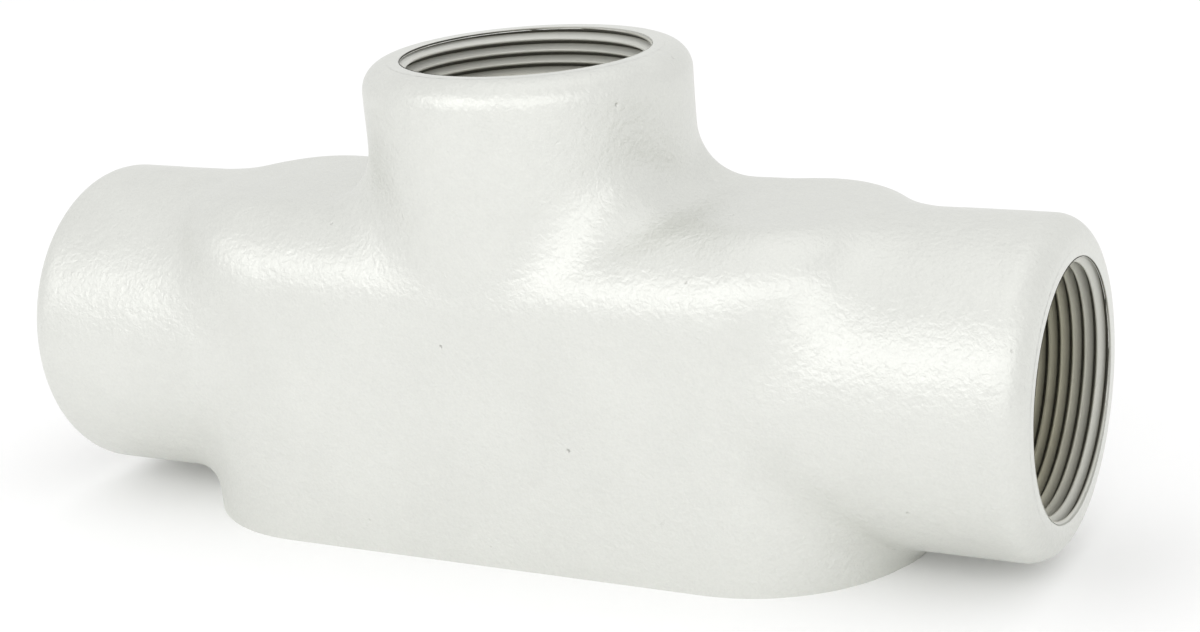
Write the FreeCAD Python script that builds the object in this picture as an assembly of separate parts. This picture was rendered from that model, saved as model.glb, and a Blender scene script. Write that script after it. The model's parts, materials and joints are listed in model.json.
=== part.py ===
import FreeCAD, Part
import math
import os
from FreeCAD import Vector as V

# Conduit body for 1-1/2 trade size rigid conduit: one iron casting with two end hubs in line
# and a third hub on its back, standing on the flat rim of its cover opening.
# Millimetres.  X runs along the two end hubs, Z points out of the back hub, and the origin
# is the middle of the cover opening, in the plane of its rim.

# ---- driving dimensions ----------------------------------------------------------------
run_length = 206.0          # face of one end hub to the face of the other
hub_d = 61.2                # outside of every hub
run_z = 33.3                # height of the end hubs' axis over the rim plane
riser_top_z = 90.4          # face of the back hub

body_length = 150.2         # body in plan: a slot shape with round ends
cheek = 0.4                 # side wall of the body outside the line of the hubs
back_land = 0.4             # flat of the back over the top line of the end hubs
shoulder_r = 16.5           # rounding between the back and the walls
wall = 4.0                  # wall of the casting round the chamber

blend_back_r = 24.0         # end hub into the body: along the back,
blend_side_r = 32.0         # at the spring of the shoulder,
blend_foot_r = 5.0          # and under the hub
riser_foot_r = 6.0          # back hub into the back: in line with the run,
riser_front_r = 20.0        # and where it comes down flush with a side wall
end_rim_r = 5.5             # rounded lip outside each end hub
riser_rim_r = 5.1           # rounded lip outside the back hub
rim_land = 0.4              # flat left on a lip, between its rounding and the mouth chamfer

tapped_d = 44.04            # drill for the 1-1/2 NPT thread
end_tapped_depth = 20.0     # tapped length in the end hubs
riser_tapped_depth = 18.5   # tapped length in the back hub
throat_d = 40.9             # integral bushing, the bore of the conduit
throat_lip_r = 3.5          # rounding that keeps cable insulation off an edge

screw_inset = 8.6           # end of the body to the middle of a cover screw
cover_screw_hole_d = 3.8    # drill for a 10-24 thread
lug_r = 5.6                 # boss round a cover screw hole
lug_clear = 0.4             # between a lug and the lip of the throat over it


# ---- derived ---------------------------------------------------------------------------
hub_r = hub_d / 2
body_width = hub_d + 2 * cheek
cover_screw_pitch = body_length - 2 * screw_inset
back_z = run_z + hub_r + back_land
tapped_r = tapped_d / 2
throat_r = throat_d / 2
shoulder_z = back_z - shoulder_r
run_foot_z = run_z - hub_r
run_top_z = run_z + hub_r
under = 15.0                # how far the stock reaches below the rim plane before it is cut
past = 1.0                  # overrun of a cutter through a face
lug_top_z = run_z - throat_r - throat_lip_r - lug_clear


def slot_prism(length, width, z0, z1, edge_r):
    """A slot-shaped block from z0 to z1, its upper edge rounded."""
    r = width / 2
    c = length / 2 - r
    h = r * math.sqrt(0.5)
    p = [V(-c, -r, z0), V(c, -r, z0), V(c, r, z0), V(-c, r, z0)]
    right = [Part.Arc(p[1], V(c + h, -h, z0), V(c + r, 0, z0)),
             Part.Arc(V(c + r, 0, z0), V(c + h, h, z0), p[2])]
    left = [Part.Arc(p[3], V(-c - h, h, z0), V(-c - r, 0, z0)),
            Part.Arc(V(-c - r, 0, z0), V(-c - h, -h, z0), p[0])]
    sides = [Part.LineSegment(p[0], p[1])] + right + [Part.LineSegment(p[2], p[3])] + left
    wire = Part.Wire([s.toShape() for s in sides])
    block = Part.Face(wire).extrude(V(0, 0, z1 - z0))
    top = [e for e in block.Edges if all(abs(v.Z - z1) < 1e-6 for v in e.Vertexes)]
    return block.makeFillet(edge_r, top)


def run_stock():
    """Both end hubs in one barrel along the run, each end with its rounded lip."""
    barrel = Part.makeCylinder(hub_r, run_length, V(-run_length / 2, 0, run_z), V(1, 0, 0))
    rims = [e for e in barrel.Edges if isinstance(e.Curve, Part.Circle)]
    return barrel.makeFillet(end_rim_r, rims)


def riser_stock():
    """The back hub, its wall in four quarters so that a blend can change between them."""
    turn = [math.radians(45 * k) for k in range(8)]
    p = [V(hub_r * math.cos(a), hub_r * math.sin(a), run_z) for a in turn]
    arcs = [Part.Arc(p[k], p[k + 1], p[(k + 2) % 8]).toShape() for k in (0, 2, 4, 6)]
    barrel = Part.Face(Part.Wire(arcs)).extrude(V(0, 0, riser_top_z - run_z))
    rim = [e for e in barrel.Edges if all(abs(v.Z - riser_top_z) < 1e-6 for v in e.Vertexes)]
    return barrel.makeFillet(riser_rim_r, rim)


def is_barrel(face, direction, radius):
    """Whether a face is the wall of a cylinder of this direction and radius."""
    s = face.Surface
    if not isinstance(s, Part.Cylinder):
        return False
    return abs(abs(s.Axis.dot(direction)) - 1) < 1e-6 and abs(s.Radius - radius) < 1e-6


def seam_edges(shape, direction, radius, rims):
    """Numbers and edges where one barrel meets the rest, leaving out its own end rims."""
    found = []
    for i, e in enumerate(shape.Edges):
        walls = [is_barrel(f, direction, radius) for f in shape.ancestorsOfType(e, Part.Face)]
        if len(walls) == 2 and walls.count(True) == 1:
            if all(abs(e.CenterOfMass.dot(direction) - rim) > 0.5 for rim in rims):
                found.append((i + 1, e))
    return found


def run_blend(p):
    """Radius of an end hub's blend at a point: small under the hub, wide along the back."""
    z = p.z
    if z < shoulder_z:
        t = (z - run_foot_z) / (shoulder_z - run_foot_z)
        return blend_foot_r + (blend_side_r - blend_foot_r) * t
    t = (z - shoulder_z) / (run_top_z - shoulder_z)
    return blend_side_r + (blend_back_r - blend_side_r) * t


def riser_blend(p):
    """Radius of the back hub's blend at a point: wide towards the side walls."""
    return riser_foot_r + (riser_front_r - riser_foot_r) * abs(p.y) / hub_r


def followed(edges):
    """Closed seams edge by edge in the order of travel: number, start point, end point."""
    left = list(edges)
    trip = []
    here = None
    while left:
        nxt = [k for k, (i, e) in enumerate(left)
               if here and any(v.Point.isEqual(here, 1e-4) for v in e.Vertexes)]
        i, e = left.pop(nxt[0] if nxt else 0)
        start, end = e.firstVertex().Point, e.lastVertex().Point
        if nxt and end.isEqual(here, 1e-4):
            start, end = end, start
        trip.append((i, start, end))
        here = end
    return trip


def blended(shape, edges, radius):
    """Round the numbered edges of a shape, with the radius that the rule gives at each end."""
    table = [(i, radius(start), radius(end)) for i, start, end in followed(edges)]
    doc = FreeCAD.newDocument("blends")
    base = doc.addObject("Part::Feature", "base")
    base.Shape = shape
    fillet = doc.addObject("Part::Fillet", "fillet")
    fillet.Base = base
    fillet.Edges = table
    doc.recompute()
    result = fillet.Shape.copy()
    FreeCAD.closeDocument(doc.Name)
    return result


def outside():
    """The outer form of the casting, solid, cut flat at the rim plane."""
    half = run_length / 2
    body = slot_prism(body_length, body_width, -under, back_z, shoulder_r)
    form = body.fuse(run_stock()).removeSplitter()
    seams = seam_edges(form, V(1, 0, 0), hub_r, [half - end_rim_r, -half + end_rim_r])
    form = blended(form, seams, run_blend)
    form = form.fuse(riser_stock())
    seams = seam_edges(form, V(0, 0, 1), hub_r, [riser_top_z - riser_rim_r])
    form = blended(form, seams, riser_blend)
    below = Part.makeBox(run_length, 2 * body_width, 2 * under,
                         V(-half, -body_width, -2 * under))
    return form.cut(below)


def lug_stock(side):
    """A cover screw lug: a round boss run back into the end wall of the chamber."""
    x = side * cover_screw_pitch / 2
    reach = body_length / 2 - wall / 2 - abs(x)
    boss = Part.makeCylinder(lug_r, lug_top_z, V(x, 0, 0))
    back = Part.makeBox(reach, 2 * lug_r, lug_top_z, V(min(x, x + side * reach), -lug_r, 0))
    return boss.fuse(back).removeSplitter()


def core():
    """The space inside: the chamber, with three throats opening out of it."""
    length = body_length - 2 * wall
    width = body_width - 2 * wall
    ceiling = back_z - wall
    chamber = slot_prism(length, width, -under, ceiling, shoulder_r - wall)
    inside = run_length / 2 - end_tapped_depth
    run = Part.makeCylinder(throat_r, 2 * inside, V(-inside, 0, run_z), V(1, 0, 0))
    floor = riser_top_z - riser_tapped_depth
    riser = Part.makeCylinder(throat_r, floor - run_z, V(0, 0, run_z))
    space = chamber.fuse([run, riser])
    edges = seam_edges(space, V(1, 0, 0), throat_r, [inside, -inside])
    edges += seam_edges(space, V(0, 0, 1), throat_r, [floor])
    return space.makeFillet(throat_lip_r, [e for i, e in edges])


def tapped_bore(face, inward, depth, lip_r):
    """Cutter for one hub: the bore to be tapped and the chamfer at its mouth."""
    mouth_r = hub_r - lip_r - rim_land
    bore = Part.makeCylinder(tapped_r, depth + past, face - inward * past, inward)
    lead = mouth_r - tapped_r
    flare = Part.makeCone(mouth_r + past, tapped_r, lead + past, face - inward * past, inward)
    return bore.fuse(flare)


def casting():
    half = run_length / 2
    hole_r = cover_screw_hole_d / 2
    space = core().cut([lug_stock(1), lug_stock(-1)])
    cutters = [space,
               tapped_bore(V(half, 0, run_z), V(-1, 0, 0), end_tapped_depth, end_rim_r),
               tapped_bore(V(-half, 0, run_z), V(1, 0, 0), end_tapped_depth, end_rim_r),
               tapped_bore(V(0, 0, riser_top_z), V(0, 0, -1), riser_tapped_depth, riser_rim_r)]
    for side in (1, -1):
        x = side * cover_screw_pitch / 2
        cutters.append(Part.makeCylinder(hole_r, lug_top_z + 2 * past, V(x, 0, -past)))
    return outside().cut(cutters)


def main():
    os.makedirs("parts", exist_ok=True)
    body = casting()
    solids = body.Solids
    print("solids", len(solids), "valid", body.isValid(), "faces", len(body.Faces))
    print("volume cm3", round(body.Volume / 1000, 2), "box", body.BoundBox)
    if len(solids) != 1 or not body.isValid():
        raise RuntimeError("the casting is not one sound solid")
    solids[0].exportStep("parts/body_casting.step")


main()
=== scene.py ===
import json
import math

import bmesh
import bpy
import numpy as np
from bpy.props import FloatProperty, FloatVectorProperty, IntProperty, PointerProperty
from mathutils import Matrix, Vector
from mathutils.bvhtree import BVHTree

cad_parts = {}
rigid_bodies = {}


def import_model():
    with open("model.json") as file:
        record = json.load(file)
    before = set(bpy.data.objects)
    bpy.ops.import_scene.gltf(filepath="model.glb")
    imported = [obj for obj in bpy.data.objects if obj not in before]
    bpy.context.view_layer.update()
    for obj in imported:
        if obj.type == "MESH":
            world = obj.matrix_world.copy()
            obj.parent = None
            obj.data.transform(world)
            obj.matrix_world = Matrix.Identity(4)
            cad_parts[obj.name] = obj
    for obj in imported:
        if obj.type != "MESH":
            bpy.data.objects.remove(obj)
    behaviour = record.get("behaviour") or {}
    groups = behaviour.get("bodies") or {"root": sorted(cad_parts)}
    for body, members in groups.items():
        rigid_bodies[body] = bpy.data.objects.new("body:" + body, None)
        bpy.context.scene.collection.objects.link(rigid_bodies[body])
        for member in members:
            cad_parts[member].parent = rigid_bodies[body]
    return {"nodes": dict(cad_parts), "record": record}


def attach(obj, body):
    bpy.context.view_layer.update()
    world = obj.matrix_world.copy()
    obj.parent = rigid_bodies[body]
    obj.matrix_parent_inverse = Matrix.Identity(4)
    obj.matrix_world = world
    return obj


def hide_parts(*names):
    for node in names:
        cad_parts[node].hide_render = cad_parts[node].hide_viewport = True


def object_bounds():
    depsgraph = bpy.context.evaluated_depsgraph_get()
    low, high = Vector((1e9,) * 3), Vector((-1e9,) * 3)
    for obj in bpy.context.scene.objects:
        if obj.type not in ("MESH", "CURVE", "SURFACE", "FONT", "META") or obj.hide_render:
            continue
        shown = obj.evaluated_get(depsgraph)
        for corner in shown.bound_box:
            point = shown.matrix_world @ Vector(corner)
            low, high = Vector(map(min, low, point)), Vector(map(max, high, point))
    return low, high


bl_info = {
    "name": "Conduit Body",
    "version": (1, 0, 0),
    "blender": (4, 5, 0),
    "location": "3D Viewport > Sidebar > Conduit",
    "description": "Dresses a cast conduit body: painted skin, cut pipe threads, tapped screw lugs",
    "category": "Object",
}

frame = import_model()
CAD_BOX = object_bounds()
NODE = "body_casting"
MOUNTS = {m["name"]: m for m in frame["record"]["mounts"]}
MM = 0.001

# what the machine shop cut, as in the solid
TAPPED_END = 20.0 * MM          # tapped length of an end hub
TAPPED_BACK = 18.5 * MM         # tapped length of the back hub
THROAT_SHOWN = 2.6 * MM         # how much of a throat below the bore is drawn as cut metal
MOUTH_EDGE = 0.45 * MM          # straight edge of a mouth before its chamfer
LAND_ROUND = 0.35 * MM          # rounding of the painted land into the mouth
SEAT_PROUD = 0.03 * MM          # a screw seat over the skin round it
PLAIN_BORE = 0.55               # how much of the cut metal's colour a bored surface without thread shows against the painted shade of the roots, 0 to 1

# how the skin is fitted to the solid
RIM_BAND = 2.6 * MM             # height over the rim plane that follows the solid itself
OVERLAP = 1.3 * MM              # how far the skin stays away below a bore
SEAT_HOLE = 4.3 * MM            # hole in the skin under a screw seat
FACE_BAND = 1.6 * MM            # width and depth of a hub's face beside its lip


# ---- sizes and colours -------------------------------------------------------------------

class ConduitCasting(bpy.types.PropertyGroup):
    grain: FloatProperty(
        name="Skin grain", description="Spacing of the points of the cast skin",
        default=1.05 * MM, min=0.5 * MM, subtype="DISTANCE", unit="LENGTH", precision=5)
    soften: IntProperty(
        name="Soften", description="Rounds of smoothing over the whole skin", default=12, min=0)
    run_out: IntProperty(
        name="Run out", description="Rounds of filling where the body runs out into the hubs",
        default=110, min=0)
    waviness: FloatProperty(
        name="Waviness", description="How far the sand mould let the surface wander",
        default=0.035 * MM, min=0.0, subtype="DISTANCE", unit="LENGTH", precision=5)
    wave_length: FloatProperty(
        name="Wave length", description="Spacing of the wandering",
        default=14 * MM, min=1 * MM, subtype="DISTANCE", unit="LENGTH", precision=5)
    hub_radius: FloatProperty(
        name="Hub radius", description="Outside of a hub",
        default=30.6 * MM, subtype="DISTANCE", unit="LENGTH", precision=5)
    back_height: FloatProperty(
        name="Back", description="Flat of the back over the rim plane",
        default=64.3 * MM, subtype="DISTANCE", unit="LENGTH", precision=5)
    end_centre: FloatProperty(
        name="End centre", description="From the middle to the centre of a round end",
        default=44.1 * MM, subtype="DISTANCE", unit="LENGTH", precision=5)
    end_radius: FloatProperty(
        name="End radius", description="Round end of the body in plan",
        default=31.0 * MM, subtype="DISTANCE", unit="LENGTH", precision=5)
    shoulder: FloatProperty(
        name="Shoulder", description="Rounding between the back and the walls",
        default=16.5 * MM, subtype="DISTANCE", unit="LENGTH", precision=5)
    end_shoulder: FloatProperty(
        name="End shoulder", description="The same rounding where it meets a hub",
        default=11.5 * MM, subtype="DISTANCE", unit="LENGTH", precision=5)
    end_spread: FloatProperty(
        name="End spread", description="How much further the round ends reach at the back",
        default=2.2 * MM, subtype="DISTANCE", unit="LENGTH", precision=5)
    end_rim: FloatProperty(
        name="End rim", description="Rounded lip of an end hub",
        default=5.5 * MM, subtype="DISTANCE", unit="LENGTH", precision=5)
    back_rim: FloatProperty(
        name="Back rim", description="Rounded lip of the back hub",
        default=5.1 * MM, subtype="DISTANCE", unit="LENGTH", precision=5)
    throat_radius: FloatProperty(
        name="Throat radius", description="Opening at the foot of a tapped bore",
        default=20.43 * MM, subtype="DISTANCE", unit="LENGTH", precision=5)
    paint: FloatVectorProperty(
        name="Paint", description="Satin aluminium paint", subtype="COLOR", size=3,
        min=0.0, max=1.0, default=(0.738, 0.745, 0.709))
    grime: FloatVectorProperty(
        name="Grime", description="Paint in the pits and scuffs", subtype="COLOR", size=3,
        min=0.0, max=1.0, default=(0.52, 0.515, 0.47))


class ConduitThread(bpy.types.PropertyGroup):
    pitch: FloatProperty(
        name="Pitch", description="Pipe thread, 11.5 turns to the inch",
        default=25.4 * MM / 11.5, subtype="DISTANCE", unit="LENGTH", precision=5)
    depth: FloatProperty(
        name="Depth", description="Crest to root",
        default=1.70 * MM, subtype="DISTANCE", unit="LENGTH", precision=5)
    mouth_root: FloatProperty(
        name="Root at the face", description="Radius over the roots in the plane of the face",
        default=24.0 * MM, subtype="DISTANCE", unit="LENGTH", precision=5)
    mouth: FloatProperty(
        name="Mouth", description="Radius where the painted land turns into the bore",
        default=23.3 * MM, subtype="DISTANCE", unit="LENGTH", precision=5)
    taper: FloatProperty(
        name="Taper", description="Loss of radius for each unit of depth",
        default=1 / 32, min=0.0, max=0.2)
    # Depth of the paint colour on the crests: partly real overspray near the mouth, partly a
    # painted highlight on the lit flanks.
    spray: FloatProperty(
        name="Overspray", description="How deep paint reached on the crests",
        default=9.0 * MM, subtype="DISTANCE", unit="LENGTH", precision=5)
    fade: FloatProperty(
        name="Run out", description="Length over which the last turns fade",
        default=3.5 * MM, subtype="DISTANCE", unit="LENGTH", precision=5)
    metal: FloatVectorProperty(
        name="Cut metal", description="Cut iron", subtype="COLOR", size=3,
        min=0.0, max=1.0, default=(0.50, 0.48, 0.365))
    # The dark root colour is painted shade in the thread roots and on the flanks that face inward.
    root_shade: FloatVectorProperty(
        name="Oil", description="Cutting oil and dust in the roots", subtype="COLOR", size=3,
        min=0.0, max=1.0, default=(0.06, 0.058, 0.044))


class ConduitLug(bpy.types.PropertyGroup):
    height: FloatProperty(
        name="Height", description="Top of a lug over the rim plane",
        default=8.95 * MM, subtype="DISTANCE", unit="LENGTH", precision=5)
    seat: FloatProperty(
        name="Seat", description="Machined ring round a screw hole, its radius",
        default=4.6 * MM, subtype="DISTANCE", unit="LENGTH", precision=5)
    pitch: FloatProperty(
        name="Pitch", description="Screw thread, 24 turns to the inch",
        default=25.4 * MM / 24, subtype="DISTANCE", unit="LENGTH", precision=5)
    depth: FloatProperty(
        name="Depth", description="Crest to root",
        default=0.5 * MM, subtype="DISTANCE", unit="LENGTH", precision=5)
    sink: FloatProperty(
        name="Countersink", description="Chamfer at both ends of the hole",
        default=0.45 * MM, subtype="DISTANCE", unit="LENGTH", precision=5)


class ConduitStage(bpy.types.PropertyGroup):
    floor: FloatVectorProperty(
        name="Floor", description="Paper under the part", subtype="COLOR", size=3,
        min=0.0, max=1.0, default=(0.985, 0.985, 0.985))
    room: FloatProperty(
        name="Room", description="Brightness of the white room", default=0.935, min=0.0)
    glow: FloatProperty(
        name="Floor glow", description="Light that comes through the paper", default=0.035,
        min=0.0)
    key: FloatProperty(
        name="Key", description="Brightness of the soft boxes", default=1.085, min=0.0)


# ---- shader maths ------------------------------------------------------------------------

class Term:
    """A socket of a node tree that can be written in an expression."""

    def __init__(self, sheet, socket):
        self.sheet, self.socket = sheet, socket

    def _math(self, operation, a, b):
        return self.sheet.add("ShaderNodeMath", {"operation": operation}, {0: a, 1: b})

    def __add__(self, other):
        return self._math("ADD", self, other)

    def __radd__(self, other):
        return self._math("ADD", other, self)

    def __sub__(self, other):
        return self._math("SUBTRACT", self, other)

    def __rsub__(self, other):
        return self._math("SUBTRACT", other, self)

    def __mul__(self, other):
        return self._math("MULTIPLY", self, other)

    def __rmul__(self, other):
        return self._math("MULTIPLY", other, self)


class Sheet:
    """The nodes of one material."""

    def __init__(self, name):
        self.material = bpy.data.materials.new(name)
        self.material.use_nodes = True
        self.tree = self.material.node_tree
        self.tree.nodes.clear()
        self.count = 0

    def add(self, kind, settings=None, sockets=None, out=0):
        """One node: its settings first, then the values or links of its sockets."""
        node = self.tree.nodes.new(kind)
        node.location = (200 * (self.count % 12), -260 * (self.count // 12))
        self.count += 1
        for key, value in (settings or {}).items():
            if key == "stops":
                ramp = node.color_ramp
                while len(ramp.elements) < len(value):
                    ramp.elements.new(0.5)
                for stop, (place, level) in zip(ramp.elements, value):
                    stop.position = place
                    stop.color = (level, level, level, 1)
            else:
                setattr(node, key, value)
        for key, value in (sockets or {}).items():
            if isinstance(value, Term):
                self.tree.links.new(value.socket, node.inputs[key])
            else:
                node.inputs[key].default_value = value
        return Term(self, node.outputs[out] if len(node.outputs) else None)

    def place(self):
        """Position on the part, in metres: the part's own frame is the object's."""
        return self.add("ShaderNodeTexCoord", out="Object")

    def noise(self, place, scale, detail=2.0, rough=0.5, warp=0.0):
        return self.add("ShaderNodeTexNoise", {"noise_dimensions": "3D"},
                        {"Vector": place, "Scale": scale, "Detail": detail,
                         "Roughness": rough, "Distortion": warp})

    def ramp(self, value, stops, curve="EASE"):
        node = self.add("ShaderNodeValToRGB", {"stops": stops}, {0: value})
        node.socket.node.color_ramp.interpolation = curve
        return node

    def blend(self, amount, first, second):
        """A colour between two colours."""
        return self.add("ShaderNodeMix", {"data_type": "RGBA"},
                        {0: amount, 6: first, 7: second}, out=2)

    def bump(self, height, distance, strength=1.0):
        return self.add("ShaderNodeBump", None,
                        {"Height": height, "Distance": distance, "Strength": strength})

    def finish(self, **sockets):
        """The shader and the output."""
        named = {key.replace("_", " "): value for key, value in sockets.items()}
        shader = self.add("ShaderNodeBsdfPrincipled", None, named)
        self.add("ShaderNodeOutputMaterial", None, {"Surface": shader})
        return self.material


def rgba(colour):
    return (colour[0], colour[1], colour[2], 1.0)


def paint_material(group):
    """Satin aluminium paint over sand-cast iron: orange peel, pits, scuffs and faint clouding."""
    s = Sheet("painted_casting")
    place = s.place()
    cloud = s.noise(place, 55.0, 3.0, 0.55)
    mottle = s.noise(place, 420.0, 3.0, 0.6)
    peel = s.noise(place, 900.0, 2.0, 0.5, 0.4)
    sand = s.noise(place, 1900.0, 2.0, 0.6)
    swell = s.noise(place, 190.0, 2.0, 0.5)
    cell = s.add("ShaderNodeTexVoronoi", {"feature": "F1", "voronoi_dimensions": "3D"},
                 {"Vector": place, "Scale": 170.0, "Randomness": 1.0})
    where = s.noise(place, 95.0, 2.0, 0.5)
    pit = s.ramp(cell, [(0.0, 1.0), (0.085, 0.0)]) * s.ramp(where, [(0.56, 0.0), (0.63, 1.0)])
    scuff = s.ramp(s.noise(place, 260.0, 5.0, 0.75, 0.6), [(0.66, 0.0), (0.74, 1.0)])
    scuff = scuff * s.ramp(s.noise(place, 38.0, 2.0, 0.5), [(0.52, 0.0), (0.62, 1.0)])
    speck = s.ramp(sand, [(0.30, 0.0), (0.70, 1.0)], "LINEAR")
    tone = (s.ramp(cloud, [(0.30, 0.0), (0.70, 1.0)], "LINEAR") * 0.35
            + s.ramp(mottle, [(0.30, 0.0), (0.70, 1.0)], "LINEAR") * 0.25 + speck * 0.40)
    light = [c * 1.05 for c in group.paint]
    dark = [c * 0.95 for c in group.paint]
    colour = s.blend(tone, rgba(dark), rgba(light))
    colour = s.blend(pit * 0.45 + scuff * 0.22, colour, rgba(group.grime))
    height = peel * 0.9 + sand * 0.3 + swell * 0.6 - pit * 1.6
    return s.finish(Base_Color=colour, Roughness=0.36 + mottle * 0.12 + scuff * 0.12,
                    Metallic=0.75, IOR=1.5, Normal=s.bump(height, 0.00022, 0.9))


def thread_material(group, paint):
    """Cut iron: turned rings of tool marks, bright crests, and painted shade in the roots."""
    s = Sheet("cut_thread")
    place = s.place()
    shade = s.add("ShaderNodeAttribute", {"attribute_name": "crest"}, out="Fac")
    grit = s.noise(place, 1500.0, 3.0, 0.6)
    cloud = s.noise(place, 120.0, 2.0, 0.5)
    # the mask leaves the crests in the cut metal's colour and paints shade into the roots
    crest = s.ramp(shade, [(0.05, 0.0), (0.85, 1.0)], "LINEAR")
    colour = s.blend(crest * (0.7 + cloud * 0.6), rgba(group.root_shade), rgba(group.metal))
    # paint colour on the crests near the mouth: partly overspray, partly painted highlight on the
    # lit flanks
    spray = s.add("ShaderNodeAttribute", {"attribute_name": "spray"}, out="Fac")
    colour = s.blend(spray * 0.9, colour, rgba(paint))
    return s.finish(Base_Color=colour, Roughness=0.40 + grit * 0.22, Metallic=0.15,
                    Normal=s.bump(grit, 0.0001, 0.8))


def floor_material(group):
    s = Sheet("studio_paper")
    fibre = s.noise(s.place(), 900.0, 2.0, 0.5)
    shade = s.ramp(fibre, [(0.3, 0.99), (0.7, 1.0)])
    colour = s.blend(shade, rgba([c * 0.97 for c in group.floor]), rgba(group.floor))
    return s.finish(Base_Color=colour, Roughness=0.9, Specular_IOR_Level=0.1,
                    Emission_Color=(1.0, 1.0, 1.0, 1.0), Emission_Strength=group.glow)


# ---- mesh helpers ------------------------------------------------------------------------

def mesh_object(name, points, faces, material, marks=None, angle=40):
    mesh = bpy.data.meshes.new(name)
    mesh.from_pydata([tuple(p) for p in points], [], [tuple(f) for f in faces])
    for mark, levels in (marks or {}).items():
        mesh.attributes.new(mark, "FLOAT", "POINT").data.foreach_set(
            "value", np.asarray(levels, np.float32))
    mesh.validate()
    mesh.shade_smooth()
    mesh.set_sharp_from_angle(angle=math.radians(angle))
    mesh.materials.append(material)
    piece = bpy.data.objects.new(name, mesh)
    bpy.context.scene.collection.objects.link(piece)
    return piece


def mount(piece):
    """Carries a machined piece on the one body, as part of the casting."""
    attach(piece, "root")


def hub_ring(section, face, inward, around):
    """A section of (radius, depth) turned about a hub's axis: its points and faces."""
    f, w = np.array(face), np.array(inward)
    side = np.array((0.0, 1.0, 0.0))
    up = np.cross(w, side)
    points, faces = [], []
    n = len(section)
    for k in range(around):
        turn = 2 * math.pi * k / around
        for radius, depth in section:
            points.append(f + depth * w + radius * (math.cos(turn) * side + math.sin(turn) * up))
        for j in range(n - 1):
            a, b = k * n + j, ((k + 1) % around) * n + j
            faces.append((a, b, b + 1, a + 1))
    return points, faces


def positions(mesh):
    co = np.zeros(len(mesh.vertices) * 3)
    mesh.vertices.foreach_get("co", co)
    return co.reshape(-1, 3)


def neighbours_mean(co, edges, count):
    """Mean of each point's neighbours."""
    total = np.zeros_like(co)
    for a, b in ((0, 1), (1, 0)):
        for k in range(3):
            total[:, k] += np.bincount(edges[:, a], co[edges[:, b], k], len(co))
    return total / count[:, None]


def normals_of(co, quads):
    """Unit normals of the points of a mesh of quads."""
    face = np.cross(co[quads[:, 2]] - co[quads[:, 0]], co[quads[:, 3]] - co[quads[:, 1]])
    total = np.zeros_like(co)
    for c in range(4):
        for k in range(3):
            total[:, k] += np.bincount(quads[:, c], face[:, k], len(co))
    return total / np.maximum(np.linalg.norm(total, axis=1), 1e-12)[:, None]


def step_between(value, low, high):
    t = np.clip((value - low) / (high - low), 0, 1)
    return t * t * (3 - 2 * t)


def waves(co, length, seed):
    """A smooth random field: a sum of plane waves of about one wave length."""
    rng = np.random.default_rng(seed)
    total = np.zeros(len(co))
    for _ in range(24):
        way = rng.normal(size=3)
        way *= 2 * math.pi / (length * rng.uniform(0.7, 1.8) * np.linalg.norm(way))
        total += np.sin(co @ way + rng.uniform(0, 2 * math.pi))
    return total / math.sqrt(12)


# ---- the casting -------------------------------------------------------------------------

def hubs():
    """Each threaded hub: name, centre of its face, way in, lip radius."""
    g = bpy.context.scene.conduit_casting
    low, high = CAD_BOX
    z = MOUNTS["end_thread_a"]["pos_m"][2]
    return [("end_thread_a", Vector((high[0], 0, z)), Vector((-1, 0, 0)), g.end_rim),
            ("end_thread_b", Vector((low[0], 0, z)), Vector((1, 0, 0)), g.end_rim),
            ("back_thread", Vector((0, 0, high[2])), Vector((0, 0, -1)), g.back_rim)]


def bore_reach(name):
    return TAPPED_BACK if name == "back_thread" else TAPPED_END


def screw_places():
    pitch = MOUNTS["cover_screws"]["dims"]["spacing_x_mm"] * MM
    return [-pitch / 2, pitch / 2]


def in_hub(co, face, inward):
    """Points as a hub sees them: depth below its face, offset from its axis, radius."""
    depth = (co - np.array(face)) @ np.array(inward)
    flat = co - np.array(face) - depth[:, None] * np.array(inward)
    return depth, flat, np.linalg.norm(flat, axis=1)


def settle_hub(co, weight_from, weight_to, face, inward, radius, lip):
    """Puts the points of a hub's outside on its true barrel and rounded lip."""
    depth, flat, r = in_hub(co, face, inward)
    edge = radius - lip
    outer = (r > edge - FACE_BAND) & (
        depth < np.where(r > radius - 1.2 * lip, weight_to, FACE_BAND))
    amount = np.where(outer, 1 - step_between(depth, weight_from, weight_to), 0)
    way = flat / np.maximum(r, 1e-9)[:, None]
    true_r = np.where(depth > lip, radius, r)
    true_d = depth.copy()
    on_lip = outer & (depth <= lip) & (r > edge)
    dr, dd = r - edge, lip - depth
    span = np.maximum(np.hypot(dr, dd), 1e-9)
    true_r = np.where(on_lip, edge + dr / span * lip, true_r)
    true_d = np.where(on_lip, lip - dd / span * lip, true_d)
    # inside the lip the face is sunk a little, under the land piece
    land = outer & (r <= edge)
    true_d = np.where(land, np.where(r < edge - 0.15 * MM, 0.05 * MM, 0), true_d)
    goal = np.array(face) + true_d[:, None] * np.array(inward) + way * true_r[:, None]
    return co + (goal - co) * amount[:, None]


def true_rim(co, start):
    """Puts the points beside the rim plane on the solid's own walls and sharp edge."""
    solid = BVHTree.FromObject(frame["nodes"][NODE], bpy.context.evaluated_depsgraph_get())
    low, probe, near = 0.6 * MM, 1.2 * MM, 0.8 * MM
    for k in np.nonzero(start[:, 2] < RIM_BAND)[0]:
        x, y, z = start[k]
        spot, normal, _, gap = solid.find_nearest((x, y, max(z, probe) if z < low else z))
        if spot is None or gap > near or abs(normal.z) > 0.9:
            continue
        if z < low:
            # down the wall from the height of the probe to the rim plane
            out = math.hypot(normal.x, normal.y)
            drop = spot.z * normal.z / out ** 2
            co[k] = spot.x + drop * normal.x, spot.y + drop * normal.y, 0
        else:
            co[k] = spot
    return co


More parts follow.
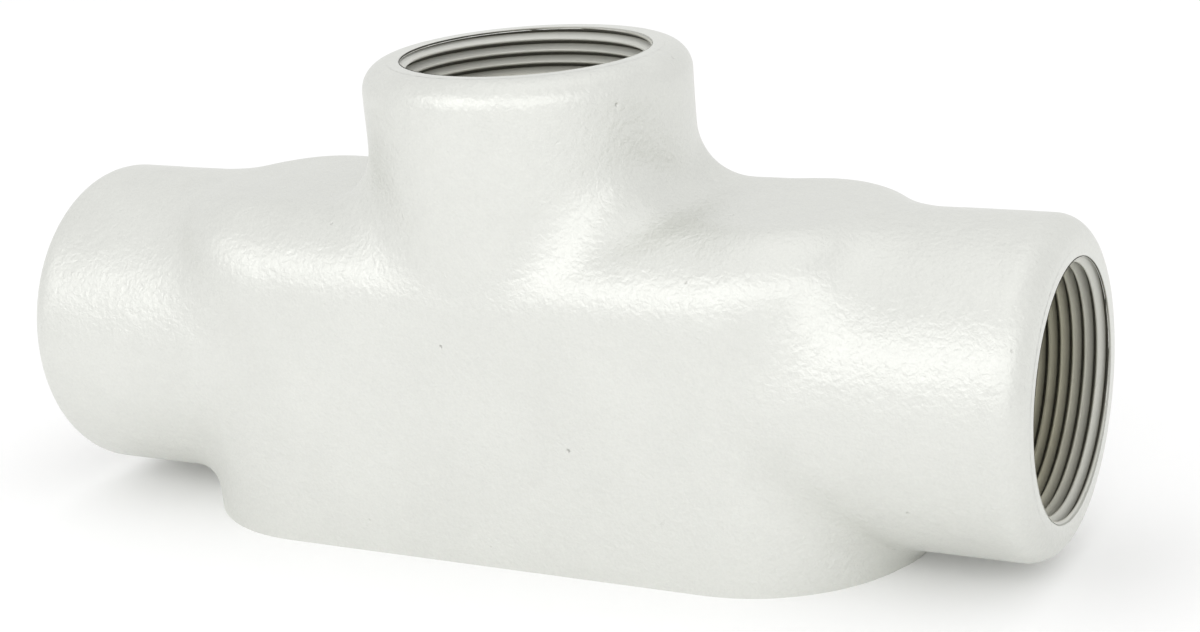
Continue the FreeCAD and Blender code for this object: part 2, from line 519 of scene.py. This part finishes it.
def end_shoulder(co, g):
    """How far points lie outside the body's round ends, and the way out.

    The shoulder is as wide as the solid's along the walls and tightens towards the hubs,
    and the round ends reach further out at the back than at the rim."""
    x, y = np.abs(co[:, 0]) - g.end_centre, co[:, 1]
    plan = np.maximum(np.hypot(x, y), 1e-9)
    toward = np.clip(x / plan, 0, 1)
    rho = g.shoulder + (g.end_shoulder - g.shoulder) * step_between(toward, 0.0, 0.85)
    spread = g.end_spread * toward * step_between(co[:, 2], 36 * MM, 60 * MM)
    a, b = plan - g.end_radius - spread + rho, co[:, 2] - g.back_height + rho
    near = (a > 0) & (b > 0)
    gap = np.where(near, np.hypot(a, b), np.maximum(a, b)) - rho
    flat = np.where(near, a, (a > b) * 1.0)
    rise = np.where(near, b, (a <= b) * 1.0)
    way = np.stack([flat * x / plan * np.sign(co[:, 0]), flat * y / plan, rise], 1)
    way /= np.maximum(np.linalg.norm(way, axis=1), 1e-9)[:, None]
    below, inside = 8 * MM, 7 * MM
    gap = np.where((x > 0) & (b > -below) & (gap > -inside), gap, 0)
    return gap, way


class Skin:
    """The points of a closed mesh of small quads, and what is worked out from them."""

    def __init__(self, mesh):
        self.mesh = mesh
        self.co = positions(mesh)
        self.start = self.co.copy()
        edges = np.zeros(len(mesh.edges) * 2, np.int64)
        mesh.edges.foreach_get("vertices", edges)
        self.edges = edges.reshape(-1, 2)
        self.count = np.maximum(np.bincount(edges, minlength=len(self.co)), 1)
        self.quads = np.array([tuple(p.vertices) for p in mesh.polygons
                               if len(p.vertices) == 4])

    def pull(self):
        """From each point to the mean of its neighbours."""
        return neighbours_mean(self.co, self.edges, self.count) - self.co

    def normals(self):
        return normals_of(self.co, self.quads)

    def soften(self, rounds):
        """Smooths without shrinking, and leaves the rim plane alone."""
        free = step_between(self.start[:, 2], 0.3 * MM, 3 * MM)
        for turn in range(rounds):
            for push in (0.55, -0.57):
                self.co = self.co + self.pull() * (push * free)[:, None]

    def outside(self, g):
        """The points of the outer surface round the ends, away from the hubs' undersides."""
        normal = self.normals()
        axis = MOUNTS["end_thread_a"]["pos_m"][2]
        radius = np.hypot(self.start[:, 1], self.start[:, 2] - axis)
        way = end_shoulder(self.co, g)[1]
        return ((radius > g.hub_radius - 2.0 * MM) & (normal[:, 2] > -0.2)
                & (np.einsum("ij,ij->i", normal, way) > 0))

    def run_out(self, g):
        """Fills where the body runs out into the hubs, and never cuts away."""
        outside = self.outside(g)
        half, top = CAD_BOX[1][0], CAD_BOX[1][2]
        for turn in range(4):
            gap, way = end_shoulder(self.co, g)
            self.co = self.co + way * (np.clip(-gap, 0, 6 * MM) * outside)[:, None]
        along, rise = np.abs(self.start[:, 0]), self.start[:, 2]
        spread = (step_between(along, half * 0.50, half * 0.62)
                  * (1 - step_between(along, half * 0.84, half * 0.92))
                  * step_between(rise, top * 0.40, top * 0.56)) * outside
        normal = self.normals()
        for turn in range(g.run_out):
            gain = np.maximum(np.einsum("ij,ij->i", self.pull(), normal), 0) * spread
            self.co = self.co + normal * gain[:, None]
            if turn % 20 == 19:
                normal = self.normals()

    def settle(self, g):
        """Brings the hubs and the rim back to their true form."""
        for name, face, inward, lip in hubs():
            far = 14 * MM if name == "back_thread" else 20 * MM
            self.co = settle_hub(self.co, far * 0.75, far, face, inward, g.hub_radius, lip)
        self.co[self.start[:, 2] < 0.05 * MM, 2] = 0.0
        self.co = true_rim(self.co, self.start)

    def wander(self, g):
        """Lets the cast surface wander, and keeps the hubs' faces and the rim calm."""
        calm = np.ones(len(self.co))
        for name, face, inward, lip in hubs():
            calm = calm * step_between(in_hub(self.start, face, inward)[0], 0.5 * MM, 9 * MM)
        calm = calm * step_between(self.start[:, 2], RIM_BAND, 8 * MM)
        field = (waves(self.co, g.wave_length, 7) * 0.7
                 + waves(self.co, g.wave_length / 3, 8) * 0.25 - 0.5)
        self.co = self.co + self.normals() * (
            np.clip(field, -2, 1) * g.waviness * calm)[:, None]

    def cut_away(self, g, lug):
        """The points that the tapped bores and screw holes take away."""
        drop = np.zeros(len(self.co), bool)
        for name, face, inward, lip in hubs():
            depth, _, r = in_hub(self.start, face, inward)
            drop |= ((depth < bore_reach(name) + OVERLAP) & (depth > -1 * MM)
                     & (r < g.hub_radius - lip - 0.1 * MM))
        for x in screw_places():
            r = np.hypot(self.start[:, 0] - x, self.start[:, 1])
            drop |= (r < SEAT_HOLE) & (self.start[:, 2] < lug.height + 1 * MM)
        return drop

    def finish(self, drop):
        """Writes the points back, and takes out the cut faces and the folds at the rim."""
        self.mesh.vertices.foreach_set("co", self.co.ravel())
        bm = bmesh.new()
        bm.from_mesh(self.mesh)
        bm.verts.ensure_lookup_table()
        gone = [f for f in bm.faces if all(drop[v.index] for v in f.verts)]
        bmesh.ops.delete(bm, geom=gone, context="FACES")
        bmesh.ops.remove_doubles(bm, verts=bm.verts[:], dist=0.03 * MM)
        bmesh.ops.dissolve_degenerate(bm, edges=bm.edges[:], dist=0.01 * MM)
        bmesh.ops.triangulate(bm, faces=[f for f in bm.faces if f.calc_center_median().z
                                         < 3 * MM and len(f.verts) > 3])
        twins = {}
        for f in bm.faces:
            twins.setdefault(frozenset(v.index for v in f.verts), []).append(f)
        folded = [f for same in twins.values() if len(same) > 1 for f in same]
        bmesh.ops.delete(bm, geom=folded, context="FACES")
        bm.to_mesh(self.mesh)
        bm.free()


def remeshed(node, grain):
    """A copy of a node's mesh, made again from small even quads."""
    shell = bpy.data.objects.new("blank", node.data.copy())
    bpy.context.scene.collection.objects.link(shell)
    weld = shell.modifiers.new("weld", "WELD")
    weld.merge_threshold = 1e-6
    remesh = shell.modifiers.new("remesh", "REMESH")
    remesh.mode = "VOXEL"
    remesh.voxel_size = grain
    remesh.use_smooth_shade = True
    bpy.context.view_layer.update()
    mesh = bpy.data.meshes.new_from_object(
        shell.evaluated_get(bpy.context.evaluated_depsgraph_get()))
    bpy.data.objects.remove(shell)
    if len(mesh.polygons) < 1000:
        raise RuntimeError("the casting could not be remeshed")
    return mesh


class OBJECT_OT_conduit_casting(bpy.types.Operator):
    """Make the painted skin of the casting, outside and inside, from the solid"""
    bl_idname = "object.conduit_casting"
    bl_label = "Casting"

    def execute(self, context):
        g = context.scene.conduit_casting
        mesh = remeshed(frame["nodes"][NODE], g.grain)
        skin = Skin(mesh)
        skin.soften(g.soften)
        skin.run_out(g)
        skin.settle(g)
        skin.wander(g)
        skin.finish(skin.cut_away(g, context.scene.conduit_lug))
        mesh.shade_smooth()
        mesh.set_sharp_from_angle(angle=math.radians(42))
        mesh.materials.clear()
        mesh.materials.append(paint_material(g))
        piece = bpy.data.objects.new("casting_skin", mesh)
        context.scene.collection.objects.link(piece)
        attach(piece, "root")
        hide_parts(NODE)
        print("skin faces", len(mesh.polygons))
        return {"FINISHED"}


# ---- threads -----------------------------------------------------------------------------

def thread_turns(t, bore, reach, around, fine):
    """A tapered thread cut along one helix: depth, angle, radius, the lit-crest mask whose low
    values paint shade into the roots, and faces.
    """
    turns = int(reach / t.pitch) + 2
    turn = np.repeat(np.arange(turns * around + 1), fine + 1) / around
    phase = np.tile(np.arange(fine + 1), turns * around + 1) / fine
    along = (turn - 1 + phase) * t.pitch
    depth = np.clip(along, 0, reach)

    # the form of one turn: crest, flank, root, flank, with flats on crest and root
    flat_root, flank = 0.10, 0.78
    shape = np.clip((np.abs(phase - 0.5) * 2 - flat_root) / flank, 0, 1)
    fade = np.clip((reach - 1.2 * MM - depth) / t.fade, 0, 1)
    groove = t.mouth_root - depth * t.taper - t.depth * shape
    radius = np.maximum(bore + (groove - bore) * fade, bore)
    cone = t.mouth - np.maximum(depth - MOUTH_EDGE, 0)
    radius = np.where(depth < MOUTH_EDGE, t.mouth, np.maximum(radius, cone))

    # crests and the flanks that face the mouth take the cut metal's colour; the roots and the
    # flanks that face inward take painted shade
    crest = np.where(phase > 0.5, np.clip((phase - 0.5) / 0.12, 0, 1),
                     np.clip((0.2 - phase) / 0.15, 0, 1))
    crest = np.where(fade < 0.2, PLAIN_BORE, crest)
    faces = []
    for q in range(turns * around):
        a, b = q * (fine + 1), (q + 1) * (fine + 1)
        faces += [(a + j, b + j, b + j + 1, a + j + 1) for j in range(fine)
                  if depth[a + j] < reach and (along[a + j] >= 0 or along[b + j + 1] >= 0)]
    return depth, turn * 2 * math.pi, radius, crest, faces


class OBJECT_OT_conduit_threads(bpy.types.Operator):
    """Cut the taper pipe thread of each hub, with the chamfer at its mouth"""
    bl_idname = "object.conduit_threads"
    bl_label = "Pipe threads"

    def execute(self, context):
        c = context.scene.conduit_casting
        t = context.scene.conduit_thread
        cut = thread_material(t, c.paint)
        paint = bpy.data.materials["painted_casting"]
        around = 144
        side = np.array((0.0, 1.0, 0.0))
        for name, face, inward, lip in hubs():
            bore = MOUNTS[name]["dims"]["r_mm"] * MM
            reach = bore_reach(name)
            f, w = np.array(face), np.array(inward)
            depth, angle, r, crest, faces = thread_turns(t, bore, reach, around, 14)
            points = (f + depth[:, None] * w + (r * np.cos(angle))[:, None] * side
                      + (r * np.sin(angle))[:, None] * np.cross(w, side))
            # overspray and a painted highlight on the lit flanks reach deeper into the hub that
            # stood upright
            deep = t.spray * (3 if name == "back_thread" else 1)
            spray = np.clip(1 - depth / deep, 0, 1) * crest
            piece = mesh_object(name + "_cut", points, faces, cut,
                                {"crest": crest, "spray": spray}, 35)
            mount(piece)
            print(piece.name, len(piece.data.polygons))

            # the turned step at the foot of the bore, and the start of the throat
            points, faces = hub_ring(
                [(bore + 0.2 * MM, reach), (c.throat_radius, reach),
                 (c.throat_radius, reach + THROAT_SHOWN)], face, inward, around)
            mount(mesh_object(name + "_step", points, faces, cut,
                              {"crest": [PLAIN_BORE] * len(points),
                               "spray": [0.0] * len(points)}))

            # the painted land, rounded over into the bore
            inner, outer = t.mouth + LAND_ROUND, c.hub_radius - lip + 0.25 * MM
            section = [(outer, 0.0), (inner, 0.0)]
            for k in range(1, 7):
                a = math.radians(80 * k / 6)
                section.append((inner - LAND_ROUND * math.sin(a),
                                LAND_ROUND - LAND_ROUND * math.cos(a)))
            section.append((t.mouth - 0.02 * MM, LAND_ROUND + 0.1 * MM))
            points, faces = hub_ring(section, face, inward, around)
            mount(mesh_object(name + "_land", points, faces, paint))
        return {"FINISHED"}


class OBJECT_OT_conduit_lugs(bpy.types.Operator):
    """Tap the two cover screw lugs: machined seat, countersink and screw thread"""
    bl_idname = "object.conduit_lugs"
    bl_label = "Screw lugs"

    def execute(self, context):
        g = context.scene.conduit_lug
        hole = MOUNTS["cover_screws"]["dims"]["hole_r_mm"] * MM
        cut = bpy.data.materials["cut_thread"]
        paint = bpy.data.materials["painted_casting"]
        around, fine = 40, 8
        turns = int(g.height / g.pitch) + 2
        q = np.repeat(np.arange(turns * around + 1), fine + 1)
        j = np.tile(np.arange(fine + 1), turns * around + 1)
        z = np.clip((q / around - 1 + j / fine) * g.pitch, 0, g.height)
        tooth = np.clip(1 - np.abs(j / fine - 0.5) * 2.4, 0, 1)
        sink = np.minimum(z, g.height - z)
        r = np.maximum(hole + tooth * g.depth, hole + g.sink - sink)
        angle = q / around * 2 * math.pi
        faces = []
        for k in range(turns * around):
            a, b = k * (fine + 1), (k + 1) * (fine + 1)
            faces += [(a + n, b + n, b + n + 1, a + n + 1) for n in range(fine)
                      if z[b + n + 1] > 0 and z[a + n] < g.height]
        # the roots of the screw thread take the painted shade colour, its crests the cut metal's
        mark = np.clip(1 - (r - hole) / g.depth, 0, 1)
        for side, x in zip("ab", screw_places()):
            points = np.stack([x + r * np.cos(angle), r * np.sin(angle), z], 1)
            mount(mesh_object("screw_thread_" + side, points, faces, cut,
                              {"crest": mark, "spray": mark * 0}, 35))
            low, top = -SEAT_PROUD, g.height + SEAT_PROUD
            ring, bands = [], []
            for k in range(around):
                turn = 2 * math.pi * k / around
                way = np.array((math.cos(turn), math.sin(turn), 0))
                for radius, level in ((g.seat, low), (hole + g.sink, low),
                                      (g.seat, top), (hole + g.sink, top)):
                    ring.append(np.array((x, 0, level)) + way * radius)
                a, b = 4 * k, 4 * ((k + 1) % around)
                bands += [(a, a + 1, b + 1, b), (a + 3, a + 2, b + 2, b + 3)]
            mount(mesh_object("screw_seat_" + side, ring, bands, paint))
        return {"FINISHED"}


# ---- stage -------------------------------------------------------------------------------

def soft_box(name, place, aim, width, height, power):
    lamp = bpy.data.lights.new(name, "AREA")
    lamp.shape = "RECTANGLE"
    lamp.size, lamp.size_y = width, height
    lamp.energy = power
    box = bpy.data.objects.new(name, lamp)
    box.location = place
    box.rotation_euler = (Vector(aim) - Vector(place)).to_track_quat("-Z", "Y").to_euler()
    bpy.context.scene.collection.objects.link(box)
    return box


def studio_camera():
    """A camera held level with a slight roll, its lens shifted to frame the part."""
    aim, distance = Vector((19.217, 0.0, 17.045)) * MM, 442.35 * MM
    yaw, pitch, roll = (math.radians(a) for a in (27.5367, 19.8514, -4.1358))
    look = Vector((-math.sin(yaw) * math.cos(pitch), math.cos(yaw) * math.cos(pitch),
                   -math.sin(pitch)))
    right = Vector((math.cos(yaw), math.sin(yaw), 0))
    up = right.cross(look)
    x = right * math.cos(roll) + up * math.sin(roll)
    y = up * math.cos(roll) - right * math.sin(roll)
    place = aim - look * distance
    lens = bpy.data.cameras.new("camera")
    lens.sensor_fit = "HORIZONTAL"
    lens.sensor_width = 36.0
    lens.lens = 69.5034
    lens.shift_x, lens.shift_y = -0.0387083, 0.0986667
    lens.clip_start = 0.01
    camera = bpy.data.objects.new("camera", lens)
    camera.matrix_world = Matrix((
        (x[0], y[0], -look[0], place[0]), (x[1], y[1], -look[1], place[1]),
        (x[2], y[2], -look[2], place[2]), (0, 0, 0, 1)))
    bpy.context.scene.collection.objects.link(camera)
    return camera


class OBJECT_OT_conduit_stage(bpy.types.Operator):
    """Set the paper floor, the soft lights and the camera"""
    bl_idname = "object.conduit_stage"
    bl_label = "Stage"

    def execute(self, context):
        g = context.scene.conduit_stage
        half = 3.0
        corners = [(-half, -half, 0), (half, -half, 0), (half, half, 0), (-half, half, 0)]
        floor = mesh_object("studio_floor", corners, [(0, 1, 2, 3)], floor_material(g))
        world = bpy.data.worlds.new("white_room")
        world.use_nodes = True
        back = world.node_tree.nodes["Background"]
        back.inputs["Color"].default_value = (1.0, 1.0, 1.0, 1.0)
        back.inputs["Strength"].default_value = g.room
        context.scene.world = world
        context.scene.view_settings.view_transform = "Standard"
        for name, way, far, width, height, power in (
                ("left_key", (-0.435, -0.75, 0.50), 1.1, 0.75, 0.45, 0.70),
                ("front_key", (-0.05, -0.90, 0.60), 1.1, 0.80, 0.50, 0.65),
                ("right_key", (0.60, -0.75, 0.50), 1.1, 0.80, 0.50, 0.80),
                ("overhead", (0.01, 0.02, 1.00), 1.2, 1.10, 1.10, 0.80)):
            soft_box(name, Vector(way).normalized() * far, (0, 0, 0.04), width, height,
                     power * g.key)

        context.scene.camera = studio_camera()
        return {"FINISHED"}


# ---- panel and registration --------------------------------------------------------------

class VIEW3D_PT_conduit_body(bpy.types.Panel):
    bl_label = "Conduit Body"
    bl_idname = "VIEW3D_PT_conduit_body"
    bl_space_type = "VIEW_3D"
    bl_region_type = "UI"
    bl_category = "Conduit"

    def draw(self, context):
        scene = context.scene
        for title, group, operator in (
                ("Casting", scene.conduit_casting, OBJECT_OT_conduit_casting),
                ("Threads", scene.conduit_thread, OBJECT_OT_conduit_threads),
                ("Screw lugs", scene.conduit_lug, OBJECT_OT_conduit_lugs),
                ("Stage", scene.conduit_stage, OBJECT_OT_conduit_stage)):
            box = self.layout.box()
            box.label(text=title)
            for name in group.__annotations__:
                box.prop(group, name)
            box.operator(operator.bl_idname)


CLASSES = (ConduitCasting, ConduitThread, ConduitLug, ConduitStage,
           OBJECT_OT_conduit_casting, OBJECT_OT_conduit_threads, OBJECT_OT_conduit_lugs,
           OBJECT_OT_conduit_stage, VIEW3D_PT_conduit_body)


def register():
    for kind in CLASSES:
        bpy.utils.register_class(kind)
    bpy.types.Scene.conduit_casting = PointerProperty(type=ConduitCasting)
    bpy.types.Scene.conduit_thread = PointerProperty(type=ConduitThread)
    bpy.types.Scene.conduit_lug = PointerProperty(type=ConduitLug)
    bpy.types.Scene.conduit_stage = PointerProperty(type=ConduitStage)


def unregister():
    del bpy.types.Scene.conduit_casting
    del bpy.types.Scene.conduit_thread
    del bpy.types.Scene.conduit_lug
    del bpy.types.Scene.conduit_stage
    for kind in reversed(CLASSES):
        bpy.utils.unregister_class(kind)


def main():
    register()
    bpy.ops.object.conduit_stage()
    bpy.ops.object.conduit_casting()
    bpy.ops.object.conduit_threads()
    bpy.ops.object.conduit_lugs()


if __name__ == "__main__":
    main()
